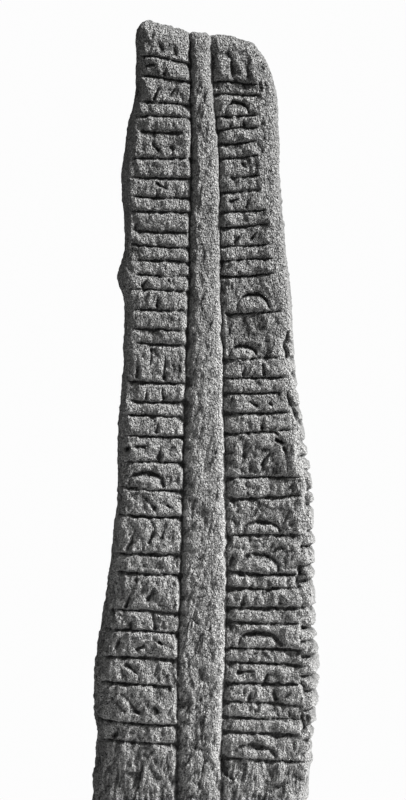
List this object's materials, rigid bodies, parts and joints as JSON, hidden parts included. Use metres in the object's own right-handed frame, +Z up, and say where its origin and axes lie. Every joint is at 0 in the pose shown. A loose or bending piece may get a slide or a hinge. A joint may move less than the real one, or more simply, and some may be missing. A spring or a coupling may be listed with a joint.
{
  "type": "rune stone",
  "caption": "Tall, narrow standing stone with a raised rib up its face and rows of cut strokes beside it; it stands on its flat foot.",
  "frame": {"origin": "on the ground, in the middle of the flat foot", "axes": "+Z up the slab; the carved face looks along -Y; +X is to the right as the face is seen"},
  "size_m": [0.6248, 0.3816, 2.3731],
  "materials": {
    "stone": "weathered, rough, matt grey stone"
  },
  "bodies": {
    "root": {"rune_stone": "stone"}
  },
  "joints": []
}
